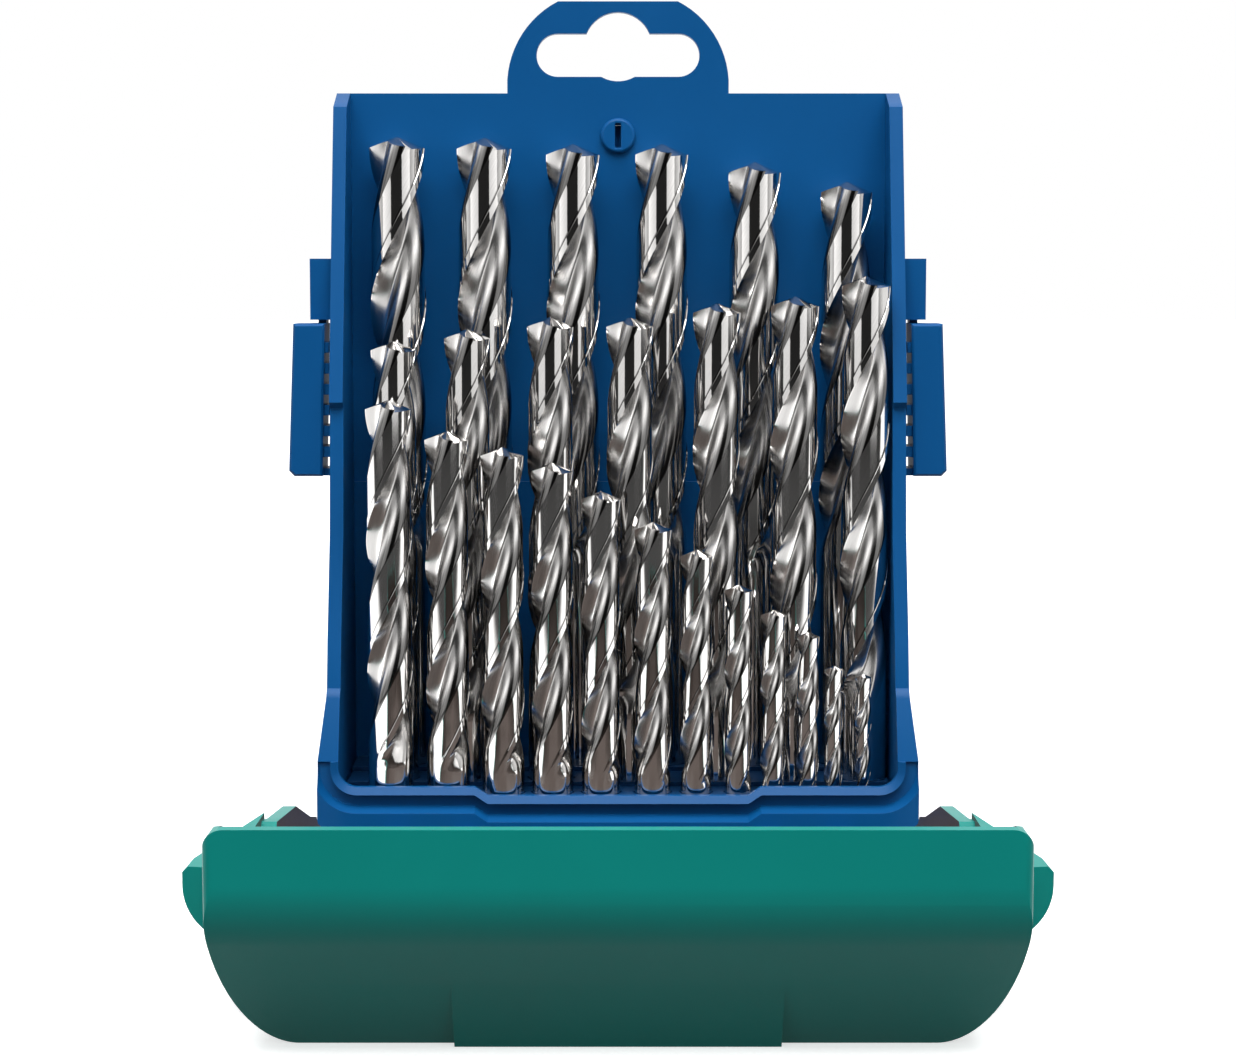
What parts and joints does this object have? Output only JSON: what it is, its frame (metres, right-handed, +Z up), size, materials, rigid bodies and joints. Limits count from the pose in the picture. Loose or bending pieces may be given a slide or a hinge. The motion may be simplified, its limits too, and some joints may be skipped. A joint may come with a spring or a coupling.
{
  "type": "drill bit case",
  "caption": "Hinged drill bit case standing open, its lid folded forward and twist drills in three rows in a socket block.",
  "frame": {"origin": "middle of the whole open case, on the surface that it stands on", "axes": "+X across the case to its right as seen from the front, -Y to the front where the lid lies, +Z up"},
  "size_m": [0.1458, 0.2092, 0.184],
  "materials": {
    "blue_shell": "fine satin moulded blue",
    "blue_latch": "fine satin moulded blue",
    "holder_plastic": "dark blue moulded",
    "green_lid": "fine satin moulded green",
    "pin_steel": "plain drawn wire",
    "drill_steel": "bright ground high speed steel"
  },
  "bodies": {
    "case": {"rear_shell": "blue_shell", "snap_stud": "blue_shell", "hinge_pin_left": "pin_steel", "hinge_pin_right": "pin_steel", "drill_holder": "holder_plastic"},
    "lid": {"lid": "green_lid"},
    "latch_left": {"latch_left": "blue_latch"},
    "latch_right": {"latch_right": "blue_latch"},
    "drill_back_1": {"drill_back_1": "drill_steel"},
    "drill_back_2": {"drill_back_2": "drill_steel"},
    "drill_back_3": {"drill_back_3": "drill_steel"},
    "drill_back_4": {"drill_back_4": "drill_steel"},
    "drill_back_5": {"drill_back_5": "drill_steel"},
    "drill_back_6": {"drill_back_6": "drill_steel"},
    "drill_middle_1": {"drill_middle_1": "drill_steel"},
    "drill_middle_2": {"drill_middle_2": "drill_steel"},
    "drill_middle_3": {"drill_middle_3": "drill_steel"},
    "drill_middle_4": {"drill_middle_4": "drill_steel"},
    "drill_middle_5": {"drill_middle_5": "drill_steel"},
    "drill_middle_6": {"drill_middle_6": "drill_steel"},
    "drill_middle_7": {"drill_middle_7": "drill_steel"},
    "drill_front_1": {"drill_front_1": "drill_steel"},
    "drill_front_2": {"drill_front_2": "drill_steel"},
    "drill_front_3": {"drill_front_3": "drill_steel"},
    "drill_front_4": {"drill_front_4": "drill_steel"},
    "drill_front_5": {"drill_front_5": "drill_steel"},
    "drill_front_6": {"drill_front_6": "drill_steel"},
    "drill_front_7": {"drill_front_7": "drill_steel"},
    "drill_front_8": {"drill_front_8": "drill_steel"},
    "drill_front_9": {"drill_front_9": "drill_steel"},
    "drill_front_10": {"drill_front_10": "drill_steel"},
    "drill_front_11": {"drill_front_11": "drill_steel"},
    "drill_front_12": {"drill_front_12": "drill_steel"}
  },
  "joints": [
    {"name": "lid_hinge", "type": "hinge", "parent": "case", "child": "lid", "pos_m": [0, 0.05655, 0.0019], "axis": [1, 0, 0], "range_deg": [-90, 0]},
    {"name": "latch_left_hinge", "type": "hinge", "parent": "case", "child": "latch_left", "pos_m": [-0.0661, 0.09365, 0.1152], "axis": [0, 1, 0], "range_deg": [0, 8], "stiffness_Nm_per_rad": 0.05},
    {"name": "latch_right_hinge", "type": "hinge", "parent": "case", "child": "latch_right", "pos_m": [0.0661, 0.09365, 0.1152], "axis": [0, -1, 0], "range_deg": [0, 8], "stiffness_Nm_per_rad": 0.05},
    {"name": "drill_back_1_lift", "type": "slide", "parent": "case", "child": "drill_back_1", "axis": [0, 0, 1], "range_m": [0, 0.03]},
    {"name": "drill_back_2_lift", "type": "slide", "parent": "case", "child": "drill_back_2", "axis": [0, 0, 1], "range_m": [0, 0.03]},
    {"name": "drill_back_3_lift", "type": "slide", "parent": "case", "child": "drill_back_3", "axis": [0, 0, 1], "range_m": [0, 0.03]},
    {"name": "drill_back_4_lift", "type": "slide", "parent": "case", "child": "drill_back_4", "axis": [0, 0, 1], "range_m": [0, 0.03]},
    {"name": "drill_back_5_lift", "type": "slide", "parent": "case", "child": "drill_back_5", "axis": [0, 0, 1], "range_m": [0, 0.03]},
    {"name": "drill_back_6_lift", "type": "slide", "parent": "case", "child": "drill_back_6", "axis": [0, 0, 1], "range_m": [0, 0.03]},
    {"name": "drill_middle_1_lift", "type": "slide", "parent": "case", "child": "drill_middle_1", "axis": [0, 0, 1], "range_m": [0, 0.03]},
    {"name": "drill_middle_2_lift", "type": "slide", "parent": "case", "child": "drill_middle_2", "axis": [0, 0, 1], "range_m": [0, 0.03]},
    {"name": "drill_middle_3_lift", "type": "slide", "parent": "case", "child": "drill_middle_3", "axis": [0, 0, 1], "range_m": [0, 0.03]},
    {"name": "drill_middle_4_lift", "type": "slide", "parent": "case", "child": "drill_middle_4", "axis": [0, 0, 1], "range_m": [0, 0.03]},
    {"name": "drill_middle_5_lift", "type": "slide", "parent": "case", "child": "drill_middle_5", "axis": [0, 0, 1], "range_m": [0, 0.03]},
    {"name": "drill_middle_6_lift", "type": "slide", "parent": "case", "child": "drill_middle_6", "axis": [0, 0, 1], "range_m": [0, 0.03]},
    {"name": "drill_middle_7_lift", "type": "slide", "parent": "case", "child": "drill_middle_7", "axis": [0, 0, 1], "range_m": [0, 0.03]},
    {"name": "drill_front_1_lift", "type": "slide", "parent": "case", "child": "drill_front_1", "axis": [0, 0, 1], "range_m": [0, 0.03]},
    {"name": "drill_front_2_lift", "type": "slide", "parent": "case", "child": "drill_front_2", "axis": [0, 0, 1], "range_m": [0, 0.03]},
    {"name": "drill_front_3_lift", "type": "slide", "parent": "case", "child": "drill_front_3", "axis": [0, 0, 1], "range_m": [0, 0.03]},
    {"name": "drill_front_4_lift", "type": "slide", "parent": "case", "child": "drill_front_4", "axis": [0, 0, 1], "range_m": [0, 0.03]},
    {"name": "drill_front_5_lift", "type": "slide", "parent": "case", "child": "drill_front_5", "axis": [0, 0, 1], "range_m": [0, 0.03]},
    {"name": "drill_front_6_lift", "type": "slide", "parent": "case", "child": "drill_front_6", "axis": [0, 0, 1], "range_m": [0, 0.03]},
    {"name": "drill_front_7_lift", "type": "slide", "parent": "case", "child": "drill_front_7", "axis": [0, 0, 1], "range_m": [0, 0.03]},
    {"name": "drill_front_8_lift", "type": "slide", "parent": "case", "child": "drill_front_8", "axis": [0, 0, 1], "range_m": [0, 0.03]},
    {"name": "drill_front_9_lift", "type": "slide", "parent": "case", "child": "drill_front_9", "axis": [0, 0, 1], "range_m": [0, 0.03]},
    {"name": "drill_front_10_lift", "type": "slide", "parent": "case", "child": "drill_front_10", "axis": [0, 0, 1], "range_m": [0, 0.03]},
    {"name": "drill_front_11_lift", "type": "slide", "parent": "case", "child": "drill_front_11", "axis": [0, 0, 1], "range_m": [0, 0.03]},
    {"name": "drill_front_12_lift", "type": "slide", "parent": "case", "child": "drill_front_12", "axis": [0, 0, 1], "range_m": [0, 0.03]}
  ]
}
